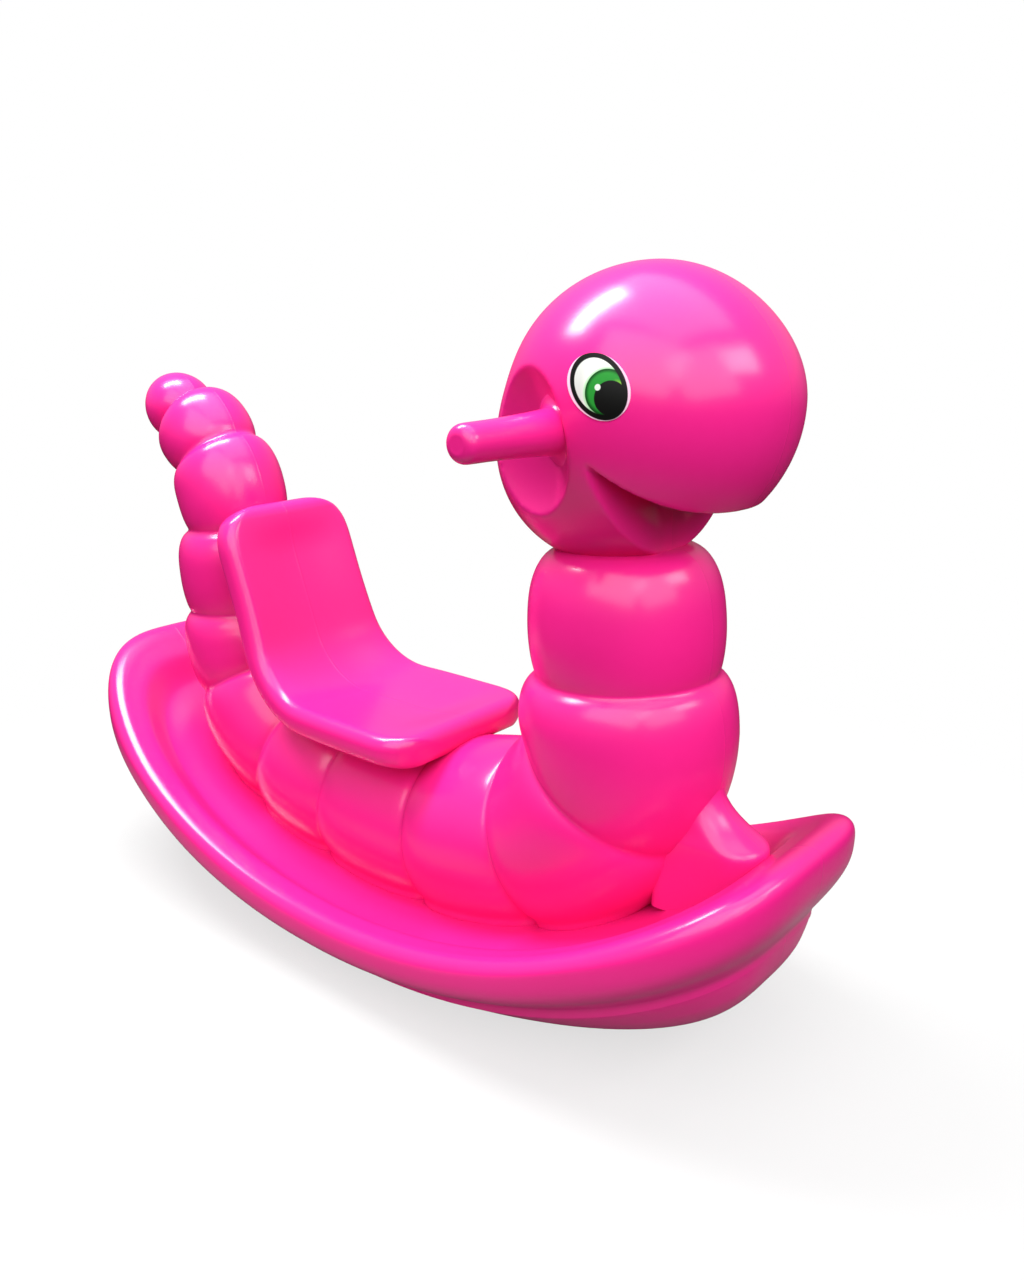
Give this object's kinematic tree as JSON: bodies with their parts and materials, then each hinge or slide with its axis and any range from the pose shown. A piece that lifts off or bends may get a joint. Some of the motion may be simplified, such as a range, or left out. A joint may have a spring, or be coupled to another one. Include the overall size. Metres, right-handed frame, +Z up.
{
  "type": "rocking seesaw toy",
  "caption": "One-seat rocking seesaw for a small child, shaped as a smiling grub with a boat-like rocker base, saddle seat, round head and stub handles.",
  "frame": {"origin": "on the floor, under the middle of the base", "axes": "+X towards the head, +Z up, +Y to the rider's left"},
  "size_m": [0.8354, 0.39, 0.6205],
  "materials": {
    "moulding": "hot pink, glossy moulded skin",
    "eye_print": "printed label, white with a green iris and black pupil"
  },
  "bodies": {
    "root": {"rocker_hull": "moulding", "foot_deck": "moulding", "front_brace": "moulding", "tail_tip": "moulding", "tail_segment_1": "moulding", "tail_segment_2": "moulding", "tail_segment_3": "moulding", "tail_segment_4": "moulding", "body_segment_1": "moulding", "body_segment_2": "moulding", "body_segment_3": "moulding", "body_segment_4": "moulding", "body_segment_5": "moulding", "neck_lower": "moulding", "neck_upper": "moulding", "head": "moulding", "seat": "moulding", "handle_right": "moulding", "handle_left": "moulding", "eye_label_right": "eye_print", "eye_label_left": "eye_print"}
  },
  "joints": []
}
